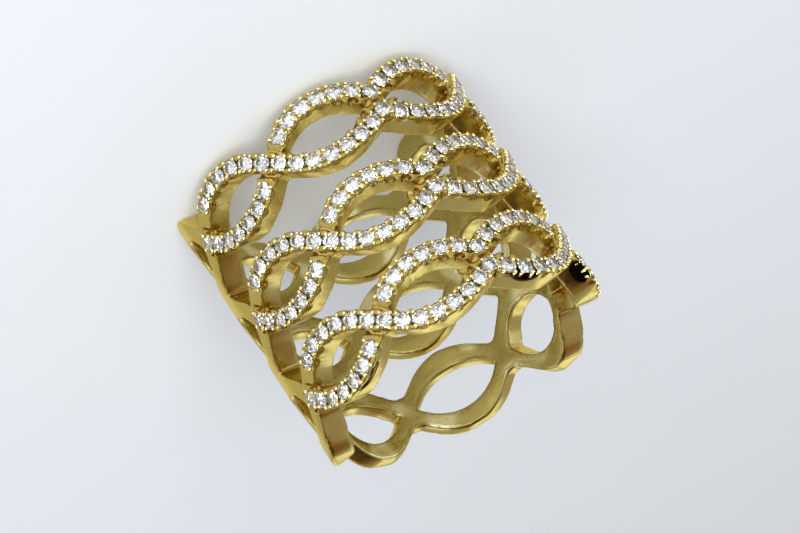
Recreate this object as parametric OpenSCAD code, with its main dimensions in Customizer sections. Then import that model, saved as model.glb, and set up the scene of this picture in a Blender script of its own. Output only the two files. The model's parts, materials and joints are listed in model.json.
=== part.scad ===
// Wide brass ring of three joined rows. Each row is a pair of strands that twine round the finger:
// set with small white stones over the front half, plain and thinner round the back.
// It lies on its side: the finger hole's axis is +Z, the floor is z = 0, the stones' middle faces -Y.

/* [Finger hole] */
// Width of the finger hole
finger_d = 17.3; // [15:0.1:21]

/* [Wall] */
// Thickness of the metal under the stones
wall_front = 1.85; // [1.6:0.05:2.2]
// Thickness of the metal opposite the stones
wall_back = 1.0; // [0.8:0.05:1.4]
// Radius of the curve that thins the back
back_curve_r = 10.9; // [10.8:0.1:11.4]

/* [Rows] */
// Distance between the middles of two rows
row_pitch = 6.5; // [6.3:0.1:7]
// From an outer row's middle to the flat tops of its waves in front
rim_h = 2.62; // [2.5:0.01:2.64]
// The same at the shoulders, on whose waves the ring stands
shoulder_h = 3.4; // [3:0.05:3.5]
// The same at the back
back_h = 2.85; // [2.6:0.05:3]
// Slit between two rows where their waves come closest in front
front_slit = 1.2; // [1.18:0.02:1.4]
// Slit between two rows where their waves come closest at the back
back_slit = 0.44; // [0.3:0.02:0.6]

/* [Front strands] */
// Width of a strand that carries stones
strand_w = 1.38; // [1.3:0.02:1.5]
// Height of a strand's middle line above the row's middle at a crest
crest_h = 1.98; // [1.8:0.02:2.05]
// Height of a strand's middle line where two strands lie side by side in front
kiss_h = 0.78; // [0.74:0.01:0.9]
// Slope of a strand where it crosses the other
cross_angle = 39; // [36:1:42]
// Slope of a strand where it turns back from the other
kiss_angle = 26; // [24:1:28]

/* [Stones] */
// Diameter of a stone
stone_d = 1.1; // [0.9:0.01:1.1]
// Distance from stone to stone along a strand
stone_pitch = 1.21; // [1.2:0.01:1.3]
// Height of a stone's table above the metal
stone_proud = 0.18; // [0.1:0.01:0.25]
// Depth of a stone below the metal
stone_depth = 0.46; // [0.4:0.01:0.5]
// Space between a stone and its seat
seat_gap = 0.04; // [0.03:0.01:0.06]

/* [Hidden] */
$fn = 64;

finger_r = finger_d / 2;
face_r = finger_r + wall_front;
back_r = finger_r + wall_back;
cut_in = finger_r - 1;
cut_long = wall_front + 2;
band_h = 2 * (row_pitch + shoulder_h);
row_z = [for (k = [0:2]) shoulder_h + k * row_pitch];

// Eight lenses go round: four with stones, a shorter one at each shoulder and two longer ones at the
// back. Half a lens is measured flat for the cutters and along the face for the stones, and flat
// halfway between the two wall thicknesses where the wall thins.
half_turn = 22.5;
shoulder_turn = 20;
back_turn = 45 - shoulder_turn;
last_node = 90 + 2 * shoulder_turn;
half_flat = face_r * sin(half_turn);
half_arc = face_r * half_turn * PI / 180;
thinned_r = (face_r + back_r) / 2;
half_shoulder = thinned_r * sin(shoulder_turn);
half_back = thinned_r * sin(back_turn);
overlap = 0.15;
slack = 0.005;
crest_ease = 1.01;
crest_flat = 0.01;

// The strands' edges at a crest, and how far the edge draws in between two that lie side by side
crest_in = crest_h - strand_w / 2;
crest_out = crest_h + strand_w / 2;
kiss_notch = 0.06;

// Lens holes by the kind of end: distance of the tip from the node, slope at the tip, half height
TIP = 0;
SLOPE = 1;
HIGH = 2;
kiss_hole = [0.9, 34, crest_in];
cross_hole = [1.1, cross_angle, crest_in];
plain_hole = [1.15, 42, 1.45];
shoulder_start = [0.7, 65, 1.85];
shoulder_end = [1.1, 60, 1.85];

// Outer edges by the kind of end: height at the node, slope from it, height at the crest,
// and the height that fills the notch at the node. A crest reaches a little past the slit or rim.
NODE = 0;
CREST = 2;
FILL = 3;
plain_node = 0.95;
plain_slope = 38;
shoulder_slope = 47;
plain_fill = 1.25;
rim_past = 0.13;
kiss_edge = [kiss_h + (strand_w / 2 - kiss_notch) / cos(kiss_angle), kiss_angle, crest_out, 1.45];
cross_edge = [strand_w / 2 / cos(cross_angle), cross_angle, crest_out, 1];
plain_edge = [plain_node, plain_slope, row_pitch / 2 - back_slit / 2 + 0.05, plain_fill];
back_edge = [plain_node, plain_slope, back_h + rim_past, plain_fill];
shoulder_edge = [plain_node, shoulder_slope, shoulder_h + rim_past, plain_fill];
// Slope at which neighbouring rows run together at the shoulders
join_slope = 43;

// Radius of the crest of an arch that rises from a straight line at a given slope
function crest_r(run, rise, slope) = (run * sin(slope) - rise * cos(slope)) / (1 - cos(slope));
// Length of that straight line
function line_l(run, rise, slope) = (run - crest_r(run, rise, slope) * sin(slope)) / cos(slope);
// Length of the whole half arch
function arch_l(run, rise, slope) =
    line_l(run, rise, slope) + crest_r(run, rise, slope) * slope * PI / 180;
// Point of a half arch at a distance along it from its foot
function arch_point(d, run, rise, slope) =
    let (r = crest_r(run, rise, slope), s = line_l(run, rise, slope), turn = (d - s) / r * 180 / PI)
    d < s ? [d * cos(slope), d * sin(slope)]
          : [run - r * sin(slope - turn), rise - r * (1 - cos(slope - turn))];

// Half an arch in the flat, its foot at x = 0 and its crest at x = run, filled down to y = 0. The
// crest's radius is eased up, so that it and the straight line cross at a small angle, and a crest
// that meets another half's is cut flat at its height.
module half_arch(run, rise, slope, foot = 0, past = 0, flat = 0) {
    r = crest_r(run, rise, slope);
    eased_r = crest_ease * r;
    long = run + past;
    intersection() {
        polygon([[0, 0], [0, foot], [long, foot + long * tan(slope)], [long, 0]]);
        union() {
            square([run - r * sin(slope), foot + rise]);
            translate([run, foot + rise + flat - eased_r]) circle(eased_r);
        }
        square([long, foot + rise + (flat > 0 ? 0 : 1)]);
    }
}

// Half of a lens hole: its middle at x = 0, its tip at +X, the same above and below
module half_hole(end, half) {
    for (up = [0, 1]) {
        mirror([0, up]) translate([half - end[TIP], 0]) mirror([1, 0])
            half_arch(half - end[TIP], end[HIGH], end[SLOPE], flat = crest_flat);
    }
}

// Distance from the node at which an outer edge has climbed to a level just below its crest
function climb(edge, half, level) =
    let (r = crest_r(half, edge[CREST] - edge[NODE], edge[SLOPE]), drop = edge[CREST] - level)
    half - sqrt(r * r - (r - drop) * (r - drop));

// One side of a row's outer edge, from the node at x = 0 to its crest
module half_edge(edge, half) {
    union() {
        half_arch(half, edge[CREST] - edge[NODE], edge[SLOPE], edge[NODE], overlap);
        square([half / 2, edge[FILL]]);
    }
}

// The opening above a row on one side of a node, up to a level and as wide as the edge leaves it
module beside(edge, half, level, top) {
    difference() {
        square([climb(edge, half, level + slack), top]);
        half_edge(edge, half);
    }
}

// The same at the shoulder, where the edge climbs straight to the next row and joins it
module joined() {
    rise = row_pitch / 2 - plain_fill;
    polygon([[0, plain_fill], [rise / tan(join_slope), row_pitch / 2], [0, row_pitch / 2]]);
}

// One side of a node's opening between two rows, upper or lower half
module between(kind) {
    if (kind == "kiss") beside(kiss_edge, half_flat, row_pitch / 2 - front_slit / 2, row_pitch / 2);
    if (kind == "cross") beside(cross_edge, half_flat, row_pitch / 2 - front_slit / 2, row_pitch / 2);
    if (kind == "plain") beside(plain_edge, half_back, row_pitch / 2 - back_slit / 2, row_pitch / 2);
    if (kind == "join") joined();
}

// One side of a node's opening past the outer rims
module outside(kind) {
    top = shoulder_h + 1;
    if (kind == "kiss") beside(kiss_edge, half_flat, rim_h, top);
    if (kind == "cross") beside(cross_edge, half_flat, rim_h, top);
    if (kind == "plain") beside(back_edge, half_back, back_h, top);
    if (kind == "join") beside(shoulder_edge, half_shoulder, shoulder_h, top);
}

module gap_opening(left, right) {
    for (up = [0, 1]) {
        translate([0, row_pitch / 2]) mirror([0, up]) translate([0, -row_pitch / 2]) {
            mirror([1, 0]) between(left);
            between(right);
        }
    }
}

module rim_opening(left, right) {
    mirror([1, 0]) outside(left);
    outside(right);
}

// Turns a flat shape to face outwards at an angle from the front and runs it through the wall
module through_wall(angle, from = cut_in) {
    rotate([0, 0, angle]) translate([0, -from, 0]) rotate([90, 0, 0])
        linear_extrude(height = cut_in + cut_long - from) children();
}

// Nodes round the ring: angle from the front, kind of edge to the left and to the right
even_nodes = [[0, "kiss", "kiss"], [90, "cross", "join"], [-90, "join", "cross"],
              [180, "plain", "plain"]];
odd_nodes = [[45, "cross", "cross"], [-45, "cross", "cross"], [last_node, "join", "plain"],
             [-last_node, "plain", "join"]];
// Lenses round the ring: angle of the middle, kind of end to the left and to the right, half length
shoulder_middle = 90 + shoulder_turn;
back_middle = 180 - back_turn;
lenses = [[22.5, kiss_hole, cross_hole, half_flat], [-22.5, cross_hole, kiss_hole, half_flat],
          [67.5, cross_hole, cross_hole, half_flat], [-67.5, cross_hole, cross_hole, half_flat],
          [shoulder_middle, shoulder_start, shoulder_end, half_shoulder],
          [-shoulder_middle, shoulder_end, shoulder_start, half_shoulder],
          [back_middle, plain_hole, plain_hole, half_back],
          [-back_middle, plain_hole, plain_hole, half_back]];

module node_openings(nodes) {
    for (n = nodes) {
        for (k = [0:1]) translate([0, 0, row_z[k]]) through_wall(n[0]) gap_opening(n[1], n[2]);
        translate([0, 0, row_z[2]]) through_wall(n[0]) rim_opening(n[1], n[2]);
        translate([0, 0, row_z[0]]) through_wall(n[0]) mirror([0, 1]) rim_opening(n[1], n[2]);
    }
}

// A ring's sector that runs through the wall: its middle angle and half reach, and two heights
module sector(middle, reach, low, high) {
    rotate([0, 0, middle - 90 - reach]) rotate_extrude(angle = 2 * reach)
        translate([cut_in, low]) square([cut_long, high - low]);
}

// The slits that part the rows where their waves come closest
module slit(middle, reach, wide) {
    for (k = [0:1]) {
        z = row_z[k] + row_pitch / 2;
        sector(middle, reach, z - wide / 2, z + wide / 2);
    }
}

// Takes the two rims down to a height above the outer rows' middles
module trim(middle, reach, level) {
    sector(middle, reach, row_z[2] + level, band_h + 1);
    sector(middle, reach, -1, row_z[0] - level);
}

module lens_holes() {
    for (z = row_z, l = lenses) {
        translate([0, 0, z]) through_wall(l[0]) union() {
            half_hole(l[2], l[3]);
            mirror([1, 0]) half_hole(l[1], l[3]);
        }
    }
}

// Where a strand dives under the other its face is sunk on both sides of the one on top, and at the
// shoulder only on the stones' side. Crossings: angle, slope's sign of the one on top, shoulder side
dip = 0.45;
dip_reach = 1.25;
dip_w = strand_w + 0.1;
crossings = [[45, -1, 0], [-45, 1, 0], [90, 1, 1], [-90, -1, -1]];

module dips() {
    for (z = row_z, c = crossings) {
        translate([0, 0, z]) through_wall(c[0], face_r - dip) intersection() {
            difference() {
                rotate(c[1] * -cross_angle) square([2 * dip_reach, dip_w], center = true);
                rotate(c[1] * cross_angle) square([4 * dip_reach, strand_w], center = true);
            }
            translate([-c[2] * dip_reach, 0]) square(2 * dip_reach, center = true);
        }
    }
}

// Stones are counted from the front's middle. The over strand rises from the kiss and goes over
// at the first crossing, the under strand goes under there and over at the second.
kiss_l = arch_l(half_arc, crest_h - kiss_h, kiss_angle);
cross_l = arch_l(half_arc, crest_h, cross_angle);
over_stones = [for (k = [0:13]) k];
under_stones = [for (k = [0:15]) if (k < 7 || k > 8) k];

// The two kinds of half arch, by the distance along them from their foot
function kiss_point(d) = [0, kiss_h] + arch_point(d, half_arc, crest_h - kiss_h, kiss_angle);
function cross_point(d) = arch_point(d, half_arc, crest_h, cross_angle);

// Place along the face and height of a strand at a distance from the front's middle: up from the
// kiss, down to the first crossing, on down to the second crest, and up to the second crossing
function strand_point(d) =
    let (first = kiss_l + cross_l, crest = first + cross_l, second = crest + cross_l)
    d < kiss_l ? kiss_point(d)
    : d < first ? let (p = cross_point(first - d)) [2 * half_arc - p[0], p[1]]
    : d < crest ? let (p = cross_point(d - first)) [2 * half_arc + p[0], -p[1]]
    : let (p = cross_point(second - d)) [4 * half_arc - p[0], -p[1]];

// Angles from the front and heights of one row's stones
row_stones = [
    for (strand = [[1, over_stones], [-1, under_stones]], k = strand[1])
        for (side = k == 0 ? [1] : [-1, 1])
            let (p = strand_point(k * stone_pitch))
            [side * p[0] / face_r * 180 / PI, strand[0] * p[1]]
];

module at_stone(s, z) {
    rotate([0, 0, s[0]]) translate([0, -face_r, z + s[1]]) rotate([90, 0, 0]) children();
}

// A seat under each stone, a cone that follows the stone's underside at the seat gap
module seats() {
    depth = stone_depth + 2 * seat_gap;
    for (z = row_z, s = row_stones) {
        at_stone(s, z) translate([0, 0, -depth])
            cylinder(h = depth + 0.1, r1 = seat_gap, r2 = stone_d / 2 + seat_gap);
    }
}

// One cut stone, its widest line on z = 0: table and eight crown facets above, eight below to a point
module brilliant() {
    sides = 8;
    girdle = stone_d / 2;
    table = 0.58 * girdle;
    rim = 0.03;
    corners = [for (i = [0:sides - 1]) [cos(i * 360 / sides), sin(i * 360 / sides)]];
    points = concat([for (c = corners) [table * c[0], table * c[1], stone_proud]],
                    [for (c = corners) [girdle * c[0], girdle * c[1], rim]],
                    [for (c = corners) [girdle * c[0], girdle * c[1], 0]],
                    [[0, 0, -stone_depth]]);
    walls = [for (level = [0, 1], i = [0:sides - 1])
        let (next = (i + 1) % sides, a = level * sides)
        [a + i, a + next, a + sides + next, a + sides + i]];
    point_faces = [for (i = [0:sides - 1]) [2 * sides + i, 2 * sides + (i + 1) % sides, 3 * sides]];
    table_face = [for (i = [sides - 1:-1:0]) i];
    polyhedron(points, concat([table_face], walls, point_faces));
}

module stones(row) {
    color("gainsboro") union() {
        for (s = row_stones) at_stone(s, row_z[row]) brilliant();
    }
}

// The tube, thinned at the back by a second, wider curve
module tube() {
    difference() {
        intersection() {
            cylinder(h = band_h, r = face_r);
            translate([0, back_r - back_curve_r, 0]) cylinder(h = band_h, r = back_curve_r);
        }
        translate([0, 0, -1]) cylinder(h = band_h + 2, r = finger_r);
        slit(0, 90, front_slit);
        slit(180, 2 * back_turn, back_slit);
        trim(0, 90, rim_h);
        trim(180, 2 * back_turn, back_h);
    }
}

// The whole casting: the tube, parted between the rows and pierced by the lenses
module band() {
    color("darkkhaki") difference() {
        difference() {
            difference() {
                tube();
                node_openings(even_nodes);
            }
            node_openings(odd_nodes);
        }
        lens_holes();
        dips();
        seats();
    }
}

band();
stones(0);  // stones_lower
stones(1);  // stones_middle
stones(2);  // stones_upper
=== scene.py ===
import json
import math
import random

import bpy
from mathutils import Matrix, Vector

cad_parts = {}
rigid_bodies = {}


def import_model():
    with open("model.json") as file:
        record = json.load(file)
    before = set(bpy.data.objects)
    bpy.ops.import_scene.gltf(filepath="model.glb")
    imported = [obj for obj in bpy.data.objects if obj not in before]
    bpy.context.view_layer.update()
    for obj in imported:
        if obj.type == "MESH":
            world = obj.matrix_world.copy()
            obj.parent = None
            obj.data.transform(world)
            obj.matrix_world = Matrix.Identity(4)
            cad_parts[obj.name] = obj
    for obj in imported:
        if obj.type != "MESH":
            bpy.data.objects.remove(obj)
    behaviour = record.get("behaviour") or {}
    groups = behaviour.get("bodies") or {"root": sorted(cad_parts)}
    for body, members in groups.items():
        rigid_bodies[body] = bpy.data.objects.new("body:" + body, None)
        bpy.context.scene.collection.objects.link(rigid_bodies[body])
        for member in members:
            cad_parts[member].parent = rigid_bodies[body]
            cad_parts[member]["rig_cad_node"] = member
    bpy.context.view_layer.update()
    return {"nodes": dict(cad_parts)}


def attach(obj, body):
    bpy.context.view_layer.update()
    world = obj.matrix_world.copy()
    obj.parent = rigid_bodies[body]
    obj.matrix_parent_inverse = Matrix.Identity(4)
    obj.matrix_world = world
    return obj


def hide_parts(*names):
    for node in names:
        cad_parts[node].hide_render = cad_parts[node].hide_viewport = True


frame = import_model()

# The casting: one piece of yellow brass, three rows of twined strands that run together at the
# shoulders. Where a strand carries stones its edges are cut with a round notch beside each stone,
# it slopes down where it dives under the other, and the shank behind is filed round and polished.
mm = 0.001
rows = {"lower": 3.4, "middle": 9.9, "upper": 16.4}
face_r = 10.5
finger_r = 8.65
lens_turn = math.radians(45)
half_lens = face_r * lens_turn / 2
strand_w = 1.38
stone_pitch = 1.21

# In front, where a row's two strands touch, each one's middle is kiss_h from the row's. From there
# it rises to crest_h, crosses the other strand, and meets it again at the shoulder.
kiss_h = 0.78
crest_h = 1.98
kiss_slope = math.radians(26)
cross_slope = math.radians(39)


def arch_sizes(run, rise, slope):
    """Radius of a half arch's crest, and the lengths of its straight part and of all of it."""
    crest_r = (run * math.sin(slope) - rise * math.cos(slope)) / (1 - math.cos(slope))
    straight = (run - crest_r * math.sin(slope)) / math.cos(slope)
    return crest_r, straight, straight + crest_r * slope


def arch_point(along, run, rise, slope):
    """Place on a half arch, at a distance along it from its foot."""
    crest_r, straight, _ = arch_sizes(run, rise, slope)
    if along < straight:
        return along * math.cos(slope), along * math.sin(slope)
    left = slope - (along - straight) / crest_r
    return run - crest_r * math.sin(left), rise - crest_r * (1 - math.cos(left))


kiss_arch = (half_lens, crest_h - kiss_h, kiss_slope)
cross_arch = (half_lens, crest_h, cross_slope)
first_crest = arch_sizes(*kiss_arch)[2]
cross_long = arch_sizes(*cross_arch)[2]
first_cross = first_crest + cross_long
second_cross = first_cross + 2 * cross_long


def strand_point(along):
    """Place round the face and height of a strand, at a distance from the front's middle."""
    if along < first_crest:
        x, z = arch_point(along, *kiss_arch)
        return x, kiss_h + z
    if along < first_cross:
        x, z = arch_point(first_cross - along, *cross_arch)
        return 2 * half_lens - x, z
    if along < first_cross + cross_long:
        x, z = arch_point(along - first_cross, *cross_arch)
        return 2 * half_lens + x, -z
    x, z = arch_point(second_cross - along, *cross_arch)
    return 4 * half_lens - x, -z


def place_at(strand, along, side):
    """A frame on the face, on the upper (1) or lower (-1) strand and on the right (1) or left (-1):
    X runs along the strand, Y across it and Z outwards."""
    step = 0.05
    x, z = strand_point(along)
    x_on, z_on = strand_point(along + step)
    x_back, z_back = strand_point(abs(along - step))
    slope = math.atan2(z_on - z_back, x_on - x_back) if along else 0
    turn = side * x / face_r
    lean = side * strand * slope
    out = Vector((math.sin(turn), -math.cos(turn), 0))
    round_it = Vector((math.cos(turn), math.sin(turn), 0))
    up = Vector((0, 0, 1))
    path = round_it * math.cos(lean) + up * math.sin(lean)
    across = up * math.cos(lean) - round_it * math.sin(lean)
    place = Matrix((path, across, out)).transposed().to_4x4()
    place.translation = out * face_r + up * strand * z
    return place


def placed(height, place, x=0, y=0, out=0, turn=0):
    """A frame on one row, moved along, across and out of the strand and turned, in metres."""
    local = Matrix.Translation((x, y, out)) @ Matrix.Rotation(turn, 4, "Z")
    moved = Matrix.Translation((0, 0, height)) @ place @ local
    moved.translation *= mm
    return moved


def round_place(turn, reach, height):
    """A frame at a turn from the front's middle, a reach from the axis and a height, in metres:
    X runs round the ring and Y towards its axis."""
    spot = Vector((math.sin(turn) * reach, -math.cos(turn) * reach, height)) * mm
    return Matrix.Translation(spot) @ Matrix.Rotation(turn, 4, "Z")


def ball(radius, squash=None, segments=16, rings=8):
    """A ball, squashed along its three axes where that is given."""
    bpy.ops.object.select_all(action="DESELECT")
    bpy.ops.mesh.primitive_uv_sphere_add(segments=segments, ring_count=rings, radius=radius * mm)
    if squash:
        bpy.ops.object.mode_set(mode="EDIT")
        bpy.ops.transform.resize(value=squash)
        bpy.ops.object.mode_set(mode="OBJECT")
    return bpy.context.active_object


def copies(model, name, frames):
    """One piece made of copies of a model, each with its own mesh, set into the frames."""
    bpy.ops.object.select_all(action="DESELECT")
    for where in frames:
        copy = model.copy()
        copy.data = model.data.copy()
        copy.matrix_world = where
        bpy.context.collection.objects.link(copy)
        copy.select_set(True)
        bpy.context.view_layer.objects.active = copy
    bpy.ops.object.join()
    bpy.ops.object.transform_apply(location=True, rotation=True, scale=True)
    piece = bpy.context.active_object
    piece.name = name
    piece.data.name = name
    return piece


# The stones of one row: strand, count from the middle, side and place. The lower strand misses two
# stones where it dives under the upper one.
upper_end = 14
before_dive = 7
after_dive = 9
lower_end = 16
counts = {1: range(upper_end), -1: [*range(before_dive), *range(after_dive, lower_end)]}
places = [
    (strand, count, side, place_at(strand, count * stone_pitch, side))
    for strand in (1, -1)
    for count in counts[strand]
    for side in ((1,) if count == 0 else (1, -1))
]

# The tool for a notch lies across the strand's edge, a little under the face.
notch_r = 0.31
notch_long = 0.4
notch_squash = (1.1, 1, 1.25)
notch_across = 0.76
notch_sunk = 0.1
bpy.ops.object.select_all(action="DESELECT")
bpy.ops.mesh.primitive_cylinder_add(
    vertices=14, radius=notch_r * mm, depth=notch_long * mm, rotation=(math.pi / 2, 0, 0)
)
notch_tool = bpy.context.active_object
bpy.ops.object.transform_apply(rotation=True)
bpy.ops.object.mode_set(mode="EDIT")
bpy.ops.transform.resize(value=notch_squash)
bpy.ops.object.mode_set(mode="OBJECT")
notch_frames = [
    placed(height, place, y=notch_across * edge, out=-notch_sunk)
    for height in rows.values()
    for strand, count, side, place in places
    for edge in (-1, 1)
    if count > 0 or edge == strand
]
notches = copies(notch_tool, "notch_tools", notch_frames)

# A long and narrow pit lies where the two strands touch in front.
pit_r = 0.5
pit_tool = ball(pit_r, squash=(1.0, 0.22, 0.8))
front = place_at(1, 0, 1) @ Matrix.Translation((0, -kiss_h, 0))
pits = copies(pit_tool, "pit_tools", [placed(height, front) for height in rows.values()])

# The metal between two stones is cut down, so that only the prongs at its two ends stay up.
dip_r = 0.3
dip_tool = ball(dip_r, squash=(1.0, 1.2, 0.9), segments=12)
dip_frames = [
    placed(height, place, x=stone_pitch / 2 * way)
    for height in rows.values()
    for strand, count, side, place in places
    for way in ((side, -side) if count == 0 or (strand == -1 and count == after_dive) else (side,))
]
dips = copies(dip_tool, "dip_tools", dip_frames)

# So is the web beside each meeting of two strands, at these places round the face on both sides.
kiss_web = 0.75
cross_web = 1
web_squash = (1.4, 1.1, 1.2)
webs = (kiss_web, 2 * half_lens - cross_web, 2 * half_lens + cross_web, 4 * half_lens - cross_web)
web_frames = [
    round_place(side * web / face_r, face_r, height) @ Matrix.Diagonal((*web_squash, 1))
    for height in rows.values()
    for web in webs
    for side in (1, -1)
]
web_dips = copies(dip_tool, "web_tools", web_frames)

# Scoops in the upper rim under the prongs, painted black for their shade and dark reflection: the
# angle from the front, the distance from the axis, the height, the rim's tilt there and the half
# sizes along, across and down.
scoops = (
    (-10.5, 10.55, 18.72, -16, (1.15, 0.8, 0.3)),
    (60.0, 9.95, 18.8, 22, (1.5, 0.14, 0.25)),
    (-52.0, 10.05, 18.25, -33, (1.0, 0.62, 0.15)),
)
scoop_tool = ball(1, segments=32, rings=16)
scoop_frames = [
    round_place(math.radians(degrees), reach, height)
    @ Matrix.Rotation(math.radians(-tilt), 4, "Y")
    @ Matrix.Diagonal((*half_sizes, 1))
    for degrees, reach, height, tilt, half_sizes in scoops
]
scooped = copies(scoop_tool, "scoop_tools", scoop_frames)

# A strand's slope where it dives: a block with its top tilted, from the last stone down to the
# strand on top. Each dive has its strand, its crossing and whether it lies before or past it.
dive_long = 0.64
dive_deep = 0.45
block_w = strand_w - 0.06
block_deep = 0.9
block_sunk = 0.02
from_cross = 0.96
bpy.ops.object.select_all(action="DESELECT")
bpy.ops.mesh.primitive_cube_add(size=1.0)
slope_block = bpy.context.active_object
bpy.ops.object.mode_set(mode="EDIT")
bpy.ops.transform.resize(value=(dive_long * mm, block_w * mm, block_deep * mm))
bpy.ops.transform.translate(value=(0, 0, -block_deep / 2 * mm))
bpy.ops.mesh.select_all(action="DESELECT")
bpy.ops.object.mode_set(mode="OBJECT")
for vertex in slope_block.data.vertices:
    vertex.select = vertex.co.x > 0 and vertex.co.z > -block_deep / 2 * mm
bpy.ops.object.mode_set(mode="EDIT")
bpy.ops.transform.translate(value=(0, 0, -dive_deep * mm))
bpy.ops.object.mode_set(mode="OBJECT")
dives = [(-1, first_cross, -1), (-1, first_cross, 1), (1, second_cross, -1)]
slope_frames = [
    placed(
        height,
        place_at(strand, crossing + from_cross * past, side),
        out=-block_sunk,
        turn=math.pi * (past == side),
    )
    for height in rows.values()
    for strand, crossing, past in dives
    for side in (1, -1)
]
slopes = copies(slope_block, "slopes", slope_frames)

for model in (notch_tool, pit_tool, dip_tool, scoop_tool, slope_block):
    bpy.data.objects.remove(model)


def only(piece):
    """Leaves one piece selected and active."""
    bpy.ops.object.select_all(action="DESELECT")
    piece.select_set(True)
    bpy.context.view_layer.objects.active = piece


def worked(piece, kind, **fields):
    """Adds a modifier to the active piece, sets its fields and applies it."""
    modifier = piece.modifiers.new(kind.lower(), kind)
    for key, value in fields.items():
        setattr(modifier, key, value)
    bpy.ops.object.modifier_apply(modifier=modifier.name)


# The casting's own solid is cut with the tools and joined to the slopes. A new skin all over it
# makes one solid with soft edges, and the shank behind the stones is smoothed much more.
merge_within = 0.001
skin_step = 0.1
stones_end = math.radians(99)
most_triangles = 190000
only(frame["nodes"]["band"])
bpy.ops.object.duplicate()
band = bpy.context.active_object
band.name = "band_casting"
band.data.name = "band_casting"
del band["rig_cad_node"]
bpy.ops.object.mode_set(mode="EDIT")
bpy.ops.mesh.select_all(action="SELECT")
bpy.ops.mesh.remove_doubles(threshold=merge_within * mm)
bpy.ops.object.mode_set(mode="OBJECT")
for tool in (notches, pits, dips, web_dips, scooped):
    worked(band, "BOOLEAN", operation="DIFFERENCE", object=tool, solver="EXACT")
    bpy.data.objects.remove(tool)
slopes.select_set(True)
bpy.ops.object.join()
worked(band, "REMESH", mode="VOXEL", voxel_size=skin_step * mm)
shank = band.vertex_groups.new(name="shank")
behind = [v.index for v in band.data.vertices if abs(math.atan2(v.co.x, -v.co.y)) > stones_end]
shank.add(behind, 1.0, "REPLACE")
for group, times in (("", 3), ("shank", 24)):
    worked(band, "SMOOTH", factor=0.5, iterations=times, vertex_group=group)
worked(band, "DECIMATE", ratio=min(1.0, most_triangles / (2 * len(band.data.polygons))))
bpy.ops.object.shade_smooth()
band.vertex_groups.clear()


def node(tree, kind, values=None, **fields):
    """Adds a node to a tree and sets its fields and the values of its inputs."""
    made = tree.nodes.new(kind)
    for key, value in fields.items():
        setattr(made, key, value)
    for key, value in (values or {}).items():
        made.inputs[key].default_value = value
    return made


def wire(tree, *links):
    """Joins nodes of a tree. A link is a node and its output, then a node and its input."""
    for source, out, target, into in links:
        tree.links.new(source.outputs[out], target.inputs[into])


def node_group(name, given, made):
    """A shader node group with the inputs given, each a name, a kind and a value, and the outputs
    made, each a name and a kind."""
    group = bpy.data.node_groups.new(name, "ShaderNodeTree")
    for label, kind, value in given:
        socket = group.interface.new_socket(
            name=label, in_out="INPUT", socket_type="NodeSocket" + kind
        )
        socket.default_value = value
    for label, kind in made:
        group.interface.new_socket(name=label, in_out="OUTPUT", socket_type="NodeSocket" + kind)
    return group, node(group, "NodeGroupInput"), node(group, "NodeGroupOutput")


# A cast grain: small pits in the metal's skin over broad waves from the polishing wheel, with a
# mask of their colour and one of the tops of the waves, where highlights are painted.
grain, inputs, outputs = node_group(
    "cast_grain",
    [("Scale", "Float", 1500.0), ("Depth", "Float", 0.02), ("Waves", "Float", 0.3)],
    [("Mask", "Float"), ("PaintedHighlight", "Float"), ("Normal", "Vector")],
)
coords = node(grain, "ShaderNodeTexCoord")
fine = node(grain, "ShaderNodeTexNoise", {"Detail": 5.0, "Roughness": 0.6})
bump = node(grain, "ShaderNodeBump", {"Distance": 0.05 * mm})
broad = node(grain, "ShaderNodeTexNoise", {"Scale": 330.0, "Detail": 0.0})
swell = node(grain, "ShaderNodeBump", {"Distance": 0.15 * mm})
# The tops of the waves, where highlights are painted.
highlight_patches = node(
    grain,
    "ShaderNodeMapRange",
    {"From Min": 0.54, "From Max": 0.68},
    interpolation_type="SMOOTHSTEP",
)
wire(
    grain,
    (coords, "Object", broad, "Vector"),
    (broad, "Fac", highlight_patches, "Value"),
    (broad, "Fac", swell, "Height"),
    (inputs, "Waves", swell, "Strength"),
    (swell, "Normal", bump, "Normal"),
    (coords, "Object", fine, "Vector"),
    (inputs, "Scale", fine, "Scale"),
    (fine, "Fac", bump, "Height"),
    (inputs, "Depth", bump, "Strength"),
    (fine, "Fac", outputs, "Mask"),
    (highlight_patches, "Result", outputs, "PaintedHighlight"),
    (bump, "Normal", outputs, "Normal"),
)

# Tarnish and painted shade: a mask of the hollows, where polish doesn't reach and shade falls,
# so the metal is painted darker there.
hollows, inputs, outputs = node_group(
    "tarnish_and_shade", [("Reach", "Float", 1.0 * mm)], [("Open", "Float")]
)
shade = node(hollows, "ShaderNodeAmbientOcclusion", samples=8, only_local=True)
steeper = node(hollows, "ShaderNodeMath", {1: 1.7}, operation="POWER")
wire(
    hollows,
    (inputs, "Reach", shade, "Distance"),
    (shade, "AO", steeper, 0),
    (steeper, "Value", outputs, "Open"),
)

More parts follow.
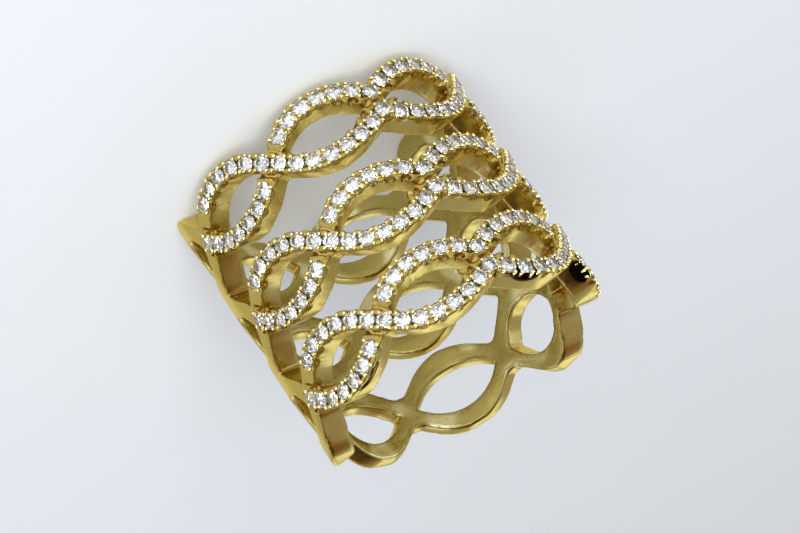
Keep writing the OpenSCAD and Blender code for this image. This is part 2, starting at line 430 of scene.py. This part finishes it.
# Masks by the distance from the ring's axis: the front's outer face round the stones, where
# shade is painted dark over the metal, and the finger's side, which is worn to a duller tone.
shade_and_wear_group, inputs, outputs = node_group(
    "face_shade_and_worn_side",
    [("Face", "Float", face_r * mm), ("Finger", "Float", finger_r * mm)],
    [("PaintedFaceShade", "Float"), ("Inside", "Float")],
)
coords = node(shade_and_wear_group, "ShaderNodeTexCoord")
flat = node(shade_and_wear_group, "ShaderNodeVectorMath", {1: (1, 1, 0)}, operation="MULTIPLY")
from_axis = node(shade_and_wear_group, "ShaderNodeVectorMath", operation="LENGTH")
over_face = node(shade_and_wear_group, "ShaderNodeMath", operation="SUBTRACT")
near_face = node(
    shade_and_wear_group,
    "ShaderNodeMapRange",
    {"From Min": -0.22 * mm, "From Max": -0.06 * mm},
    interpolation_type="SMOOTHSTEP",
)
split = node(shade_and_wear_group, "ShaderNodeSeparateXYZ")
in_front = node(shade_and_wear_group, "ShaderNodeMapRange", {"From Min": 2.2 * mm, "From Max": 1.4 * mm})
both = node(shade_and_wear_group, "ShaderNodeMath", operation="MULTIPLY")
over_finger = node(shade_and_wear_group, "ShaderNodeMath", operation="SUBTRACT")
near_finger = node(
    shade_and_wear_group,
    "ShaderNodeMapRange",
    {"From Min": 0.16 * mm, "From Max": 0.04 * mm},
    interpolation_type="SMOOTHSTEP",
)
wire(
    shade_and_wear_group,
    (coords, "Object", flat, 0),
    (flat, "Vector", from_axis, 0),
    (from_axis, "Value", over_face, 0),
    (inputs, "Face", over_face, 1),
    (over_face, "Value", near_face, "Value"),
    (coords, "Object", split, "Vector"),
    (split, "Y", in_front, "Value"),
    (near_face, "Result", both, 0),
    (in_front, "Result", both, 1),
    (both, "Value", outputs, "PaintedFaceShade"),
    (from_axis, "Value", over_finger, 0),
    (inputs, "Finger", over_finger, 1),
    (over_finger, "Value", near_finger, "Value"),
    (near_finger, "Result", outputs, "Inside"),
)

# Painted black: a mask inside an ellipsoid at a place, turned round the ring's axis, where shade
# and dark reflection are painted.
painted_dark_patch, inputs, outputs = node_group(
    "painted_dark_patch",
    [
        ("Place", "Vector", (0, 0, 0)),
        ("Turn", "Float", 0.0),
        ("Size", "Vector", (mm, mm, mm)),
    ],
    [("Mask", "Float")],
)
coords = node(painted_dark_patch, "ShaderNodeTexCoord")
from_place = node(painted_dark_patch, "ShaderNodeVectorMath", operation="SUBTRACT")
turned = node(painted_dark_patch, "ShaderNodeVectorRotate", rotation_type="Z_AXIS", invert=True)
in_sizes = node(painted_dark_patch, "ShaderNodeVectorMath", operation="DIVIDE")
far = node(painted_dark_patch, "ShaderNodeVectorMath", operation="LENGTH")
fade = node(painted_dark_patch, "ShaderNodeMapRange", {"From Min": 1.1, "From Max": 0.9})
wire(
    painted_dark_patch,
    (coords, "Object", from_place, 0),
    (inputs, "Place", from_place, 1),
    (from_place, "Vector", turned, "Vector"),
    (inputs, "Turn", turned, "Angle"),
    (turned, "Vector", in_sizes, 0),
    (inputs, "Size", in_sizes, 1),
    (in_sizes, "Vector", far, 0),
    (far, "Value", fade, "Value"),
    (fade, "Result", outputs, "Mask"),
)


def material(name):
    """A new material, its node tree and its shader."""
    made = bpy.data.materials.new(name)
    made.use_nodes = True
    return made, made.node_tree, made.node_tree.nodes["Principled BSDF"]


def brass(name, bright, tarnish_and_shade_tone, smooth, rough):
    """A brass finish: a bright tone and a darker tone of tarnish and painted shade, mixed by a mask
    of the hollows, a roughness range and a grain. It gives the material, its shader and the nodes
    of its tone and its grain."""
    made, tree, shader = material(name)
    shader.inputs["Metallic"].default_value = 1.0
    shader.inputs["Specular Tint"].default_value = (1, 0.9, 0.54, 1)
    skin = node(tree, "ShaderNodeGroup", {"Depth": 0.03}, node_tree=grain)
    opened = node(tree, "ShaderNodeGroup", node_tree=hollows)
    tone = node(tree, "ShaderNodeMix", {"A": (*tarnish_and_shade_tone, 1), "B": (*bright, 1)}, data_type="RGBA")
    sheen = node(
        tree,
        "ShaderNodeMapRange",
        {"From Min": 0.3, "From Max": 0.7, "To Min": smooth, "To Max": rough},
    )
    wire(
        tree,
        (opened, "Open", tone, "Factor"),
        (tone, "Result", shader, "Base Color"),
        (skin, "Mask", sheen, "Value"),
        (sheen, "Result", shader, "Roughness"),
        (skin, "Normal", shader, "Normal"),
    )
    return made, shader, tone, skin


def laid_over(tree, under, group, mask, colour):
    """Lays a colour over a tone where a group's mask is white, and gives the node of both."""
    laid = node(tree, "ShaderNodeMix", {"B": (*colour, 1)}, data_type="RGBA")
    wire(tree, (under, "Result", laid, "A"), (group, mask, laid, "Factor"))
    return laid


def coat(piece, finish):
    """Gives a piece one material in place of any that it has."""
    piece.data.materials.clear()
    piece.data.materials.append(finish)


# The casting's finish has more tones: painted shade on the front's face round the stones, the
# finger's worn side with painted highlights on the tops of its waves, and painted black in the
# scoops.
face_shade_tone = (0.5, 0.38, 0.1)
worn_tone = (0.5, 0.4, 0.12)
painted_highlight_tone = (0.88, 0.79, 0.42)
painted_black_tone = (0.05, 0.04, 0.015)
# Its darker tone is tarnish and painted shade in the hollows.
cast_brass, shader, tone, skin = brass(
    "cast_brass", bright=(0.7, 0.55, 0.18), tarnish_and_shade_tone=(0.34, 0.155, 0.012), smooth=0.2, rough=0.3
)
tree = cast_brass.node_tree
shade_and_wear_masks = node(tree, "ShaderNodeGroup", node_tree=shade_and_wear_group)
# Painted shade on the front's outer face round the stones, darkening the metal between them.
tone = laid_over(tree, tone, shade_and_wear_masks, "PaintedFaceShade", face_shade_tone)
tone = laid_over(tree, tone, shade_and_wear_masks, "Inside", worn_tone)
# The worn inside, with painted highlights on the tops of its waves.
worn_with_highlights = node(
    tree, "ShaderNodeMix", {"A": (*worn_tone, 1), "B": (*painted_highlight_tone, 1)}, data_type="RGBA"
)
wire(tree, (skin, "PaintedHighlight", worn_with_highlights, "Factor"), (worn_with_highlights, "Result", tone, "B"))
# Painted black in the scoops, for the shade and dark reflection in them.
for degrees, reach, height, _, (half_long, half_wide, _) in scoops:
    turn = math.radians(degrees)
    values = {
        "Place": round_place(turn, reach, height).translation,
        "Turn": turn,
        "Size": (half_long * mm, half_wide * mm, mm),
    }
    painted_scoop = node(tree, "ShaderNodeGroup", node_tree=painted_dark_patch, values=values)
    tone = laid_over(tree, tone, painted_scoop, "Mask", painted_black_tone)
wire(tree, (tone, "Result", shader, "Base Color"))
coat(band, cast_brass)
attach(band, "root")
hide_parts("band")

# The prongs: four small posts a stone, raised from the strand's own metal with a graver and rounded
# over the stone's edge. They are part of the casting's front, and as uneven as work by hand is.
prong_r = 0.13
prong_long = 0.5
prong_sunk = 0.16
prong_along = 0.39
prong_across = 0.46
round_steps = ((0.05, 0.86), (0.03, 0.58))
uneven = 0.02
hand = random.Random(11)
bpy.ops.object.select_all(action="DESELECT")
bpy.ops.mesh.primitive_cylinder_add(
    vertices=8, radius=prong_r * mm, depth=prong_long * mm, location=(0, 0, -prong_sunk * mm)
)
post = bpy.context.active_object
bpy.ops.object.transform_apply(location=True, rotation=False, scale=False)
bpy.ops.object.mode_set(mode="EDIT")
bpy.ops.mesh.select_all(action="DESELECT")
bpy.ops.object.mode_set(mode="OBJECT")
for face in post.data.polygons:
    face.select = face.normal.z > 0.9
bpy.ops.object.mode_set(mode="EDIT")
for rise, width in round_steps:
    bpy.ops.mesh.extrude_region_move(TRANSFORM_OT_translate={"value": (0, 0, rise * mm)})
    bpy.ops.transform.resize(value=(width, width, 1))
bpy.ops.object.mode_set(mode="OBJECT")


def prong_frame(height, place, way, edge):
    """A frame at one corner of a stone, with a hand's small errors in width, place and height."""
    wide = hand.uniform(0.85, 1.15)
    x = prong_along * way + hand.uniform(-uneven, uneven)
    y = prong_across * edge + hand.uniform(-uneven, uneven)
    turn = hand.uniform(0, math.pi)
    tall = hand.uniform(0.8, 1.1)
    return placed(height, place, x=x, y=y, turn=turn) @ Matrix.Diagonal((wide, wide, tall, 1))


prong_frames = [
    prong_frame(height, place, way, edge)
    for height in rows.values()
    for *_, place in places
    for way in (-1, 1)
    for edge in (-1, 1)
]
prongs = copies(post, "prongs", prong_frames)
bpy.data.objects.remove(post)
only(prongs)
bpy.ops.object.shade_smooth()
# Here too the darker tone is tarnish and painted shade in the hollows.
bead_brass, *_ = brass(
    "bead_brass", bright=(0.84, 0.73, 0.36), tarnish_and_shade_tone=(0.4, 0.23, 0.04), smooth=0.1, rough=0.16
)
coat(prongs, bead_brass)
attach(prongs, "root")

# The stones: clear white brilliants, ground with a table, stars, mains and girdle facets above
# and mains and halves below, each dropped into its seat and held by four prongs.
girdle_r = 0.55
girdle_high = 0.03
table_high = 0.18
point_low = -0.46
star_r = 0.295
bpy.ops.object.select_all(action="DESELECT")
bpy.ops.mesh.primitive_cylinder_add(
    vertices=32,
    radius=girdle_r * mm,
    depth=(table_high - point_low) * mm,
    location=(0, 0, (table_high + point_low) / 2 * mm),
)
cut_stone = bpy.context.active_object
bpy.ops.object.transform_apply(location=True, rotation=False, scale=False)

# A facet lies at an angle round the stone and slopes up or down from level, all in degrees, and
# passes through a point at a reach from the middle and a height.
main_turn = 45
star_turn = main_turn / 2
half_turn = main_turn / 4
facets = []
for main in range(0, 360, main_turn):
    facets += [
        (main, 33, girdle_r, girdle_high),
        (main + star_turn, 20, star_r, table_high),
        (main + half_turn, 39, girdle_r, girdle_high),
        (main - half_turn, 39, girdle_r, girdle_high),
        (main, -39.9, girdle_r, 0),
        (main + half_turn, -41.6, girdle_r, 0),
        (main - half_turn, -41.6, girdle_r, 0),
    ]
bpy.ops.object.mode_set(mode="EDIT")
for degrees, slope_degrees, reach, height in facets:
    turn = math.radians(degrees)
    slope = math.radians(abs(slope_degrees))
    bpy.ops.mesh.select_all(action="SELECT")
    bpy.ops.mesh.bisect(
        plane_co=(reach * mm * math.cos(turn), reach * mm * math.sin(turn), height * mm),
        plane_no=(
            math.sin(slope) * math.cos(turn),
            math.sin(slope) * math.sin(turn),
            math.copysign(math.cos(slope), slope_degrees),
        ),
        use_fill=True,
        clear_outer=True,
        threshold=1e-9,
    )
bpy.ops.mesh.select_all(action="SELECT")
bpy.ops.mesh.remove_doubles(threshold=1e-7)
bpy.ops.mesh.normals_make_consistent(inside=False)
bpy.ops.object.mode_set(mode="OBJECT")

clear_stone, tree, shader = material("clear_stone")
shader.inputs["Metallic"].default_value = 0.0
shader.inputs["Transmission Weight"].default_value = 1.0
shader.inputs["IOR"].default_value = 2.3
coords = node(tree, "ShaderNodeTexCoord")
tints = node(tree, "ShaderNodeTexNoise", {"Scale": 900.0})
tone = node(
    tree, "ShaderNodeMix", {"A": (0.9, 0.91, 0.93, 1), "B": (1, 1, 1, 1)}, data_type="RGBA"
)
haze = node(tree, "ShaderNodeMapRange", {"To Min": 0.0, "To Max": 0.01})
wire(
    tree,
    (coords, "Object", tints, "Vector"),
    (tints, "Fac", tone, "Factor"),
    (tone, "Result", shader, "Base Color"),
    (tints, "Fac", haze, "Value"),
    (haze, "Result", shader, "Roughness"),
)

stone_lean = math.radians(2.5)
all_stones = []
for row, height in rows.items():
    frames = [
        placed(height, place, turn=hand.uniform(0, math.pi / 4))
        @ Matrix.Rotation(hand.uniform(-stone_lean, stone_lean), 4, "X")
        @ Matrix.Rotation(hand.uniform(-stone_lean, stone_lean), 4, "Y")
        for *_, place in places
    ]
    stones = copies(cut_stone, "brilliants_" + row, frames)
    coat(stones, clear_stone)
    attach(stones, "root")
    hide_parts("stones_" + row)
    all_stones.append(stones)
bpy.data.objects.remove(cut_stone)

# The table that the ring lies on: a plain pale sheet with a faint mottle, far wider than the
# picture. It is part of the stage and not of the ring.
bpy.ops.object.select_all(action="DESELECT")
bpy.ops.mesh.primitive_plane_add(size=2.0)
floor = bpy.context.active_object
floor.name = "floor"
pale_sheet, tree, shader = material("pale_sheet")
shader.inputs["Roughness"].default_value = 0.6
coords = node(tree, "ShaderNodeTexCoord")
mottle = node(tree, "ShaderNodeTexNoise", {"Scale": 60.0})
tone = node(
    tree,
    "ShaderNodeMix",
    {"A": (0.88, 0.9, 0.92, 1), "B": (0.92, 0.94, 0.96, 1)},
    data_type="RGBA",
)
wire(
    tree,
    (coords, "Object", mottle, "Vector"),
    (mottle, "Fac", tone, "Factor"),
    (tone, "Result", shader, "Base Color"),
)
floor.data.materials.append(pale_sheet)

# The room: pale walls, and over them a brown ceiling that is nearly black overhead. Its colour goes
# by the height of a direction, and the polished metal mirrors it.
walls = (0.42, 0.43, 0.45)
heights = (
    (0.0, walls),
    (0.78, walls),
    (0.84, (0.26, 0.13, 0.025)),
    (0.92, (0.2, 0.1, 0.025)),
    (0.96, (0.03, 0.025, 0.01)),
)
world = bpy.data.worlds.new("studio")
bpy.context.scene.world = world
world.use_nodes = True
tree = world.node_tree
coords = node(tree, "ShaderNodeTexCoord")
split = node(tree, "ShaderNodeSeparateXYZ")
room = node(tree, "ShaderNodeValToRGB")
stops = room.color_ramp.elements
while len(stops) < len(heights):
    stops.new(0.5)
for stop, (up, colour) in zip(stops, heights):
    stop.position = up
    stop.color = (*colour, 1)
wire(
    tree,
    (coords, "Generated", split, "Vector"),
    (split, "Z", room, "Fac"),
    (room, "Color", tree.nodes["Background"], "Color"),
)
bpy.context.scene.view_settings.view_transform = "Standard"


def lit_pieces(name, pieces):
    """A list of the pieces that a light falls on."""
    made = bpy.data.collections.new(name)
    for piece in pieces:
        made.objects.link(piece)
    return made


def softbox(name, place, size, radiance, lit, colour):
    """A round area light that faces the ring, by the brightness of its face."""
    light = bpy.data.lights.new(name, "AREA")
    light.shape = "DISK"
    light.size = size
    light.energy = radiance * math.pi * math.pi * (size / 2) ** 2
    light.color = colour
    lamp = bpy.data.objects.new(name, light)
    lamp.location = place
    lamp.rotation_mode = "QUATERNION"
    lamp.rotation_quaternion = (-Vector(place)).to_track_quat("-Z", "Y")
    lamp.visible_camera = False
    lamp.light_linking.receiver_collection = lit
    bpy.context.collection.objects.link(lamp)
    return lamp


# The ring's own soft lights, one behind it and one in front. They light the ring alone, so that
# the sheet's brightness is set apart from the metal's.
cool = (0.84, 0.95, 1.2)
white = (1, 1, 1)
ring_lit = lit_pieces("ring_lit", [band, prongs, *all_stones])
stones_lit = lit_pieces("stones_lit", [prongs, *all_stones])
softbox("behind", (-0.33, 0.56, 0.26), 0.5, 0.15, ring_lit, cool)
softbox("front", (0.32, -0.42, 0.3), 0.25, 1.0, ring_lit, cool)

# The sheet has two lights of its own. The low one throws the ring's soft shadow away from the
# camera, and the other, which the ring doesn't block, fills it a little.
sheet_tint = (0.87, 0.93, 1)
sheet_lit = lit_pieces("sheet_lit", [floor])
softbox("sheet_low", (0.3, -0.52, 0.3), 0.4, 12.5, sheet_lit, sheet_tint)
sheet_fill = softbox("sheet_fill", (0.2, -0.2, 0.5), 0.8, 0.85, sheet_lit, sheet_tint)
sheet_fill.light_linking.blocker_collection = sheet_lit

# Small lamps all round, low enough to leave the ceiling dark. Half of them give the metal its
# highlights, and all of them sparkle in the stones and on the prongs. Each kind has its size, its
# brightness, what it lights and its colour.
metal_lamp = (0.2, 1.0, ring_lit, cool)
stone_lamp = (0.13, 18.0, stones_lit, white)
lamp_count = 28
lamp_reach = 0.6
highest = 0.8
golden_turn = math.radians(137.5)
for k in range(lamp_count):
    rise = math.asin(highest * (k + 1.5) / (lamp_count + 1))
    turn = golden_turn * k
    toward = (math.cos(rise) * math.cos(turn), math.cos(rise) * math.sin(turn), math.sin(rise))
    place = [lamp_reach * part for part in toward]
    softbox("lamp_%d" % k, place, *(stone_lamp if k % 2 else metal_lamp))

# The camera looks down at the front from the photograph's angle, and is rolled as it was there, so
# that the rows climb from left to right across the picture.
camera_data = bpy.data.cameras.new("camera")
camera_data.lens = 215.4
camera_data.sensor_width = 36.0
camera_data.clip_start = 0.01
camera_data.clip_end = 10.0
camera = bpy.data.objects.new("camera", camera_data)
camera.location = (0.14798, -0.25214, 0.12547)
camera.rotation_mode = "QUATERNION"
camera.rotation_quaternion = (0.02652, 0.30117, -0.47548, 0.82615)
bpy.context.collection.objects.link(camera)
bpy.context.scene.camera = camera
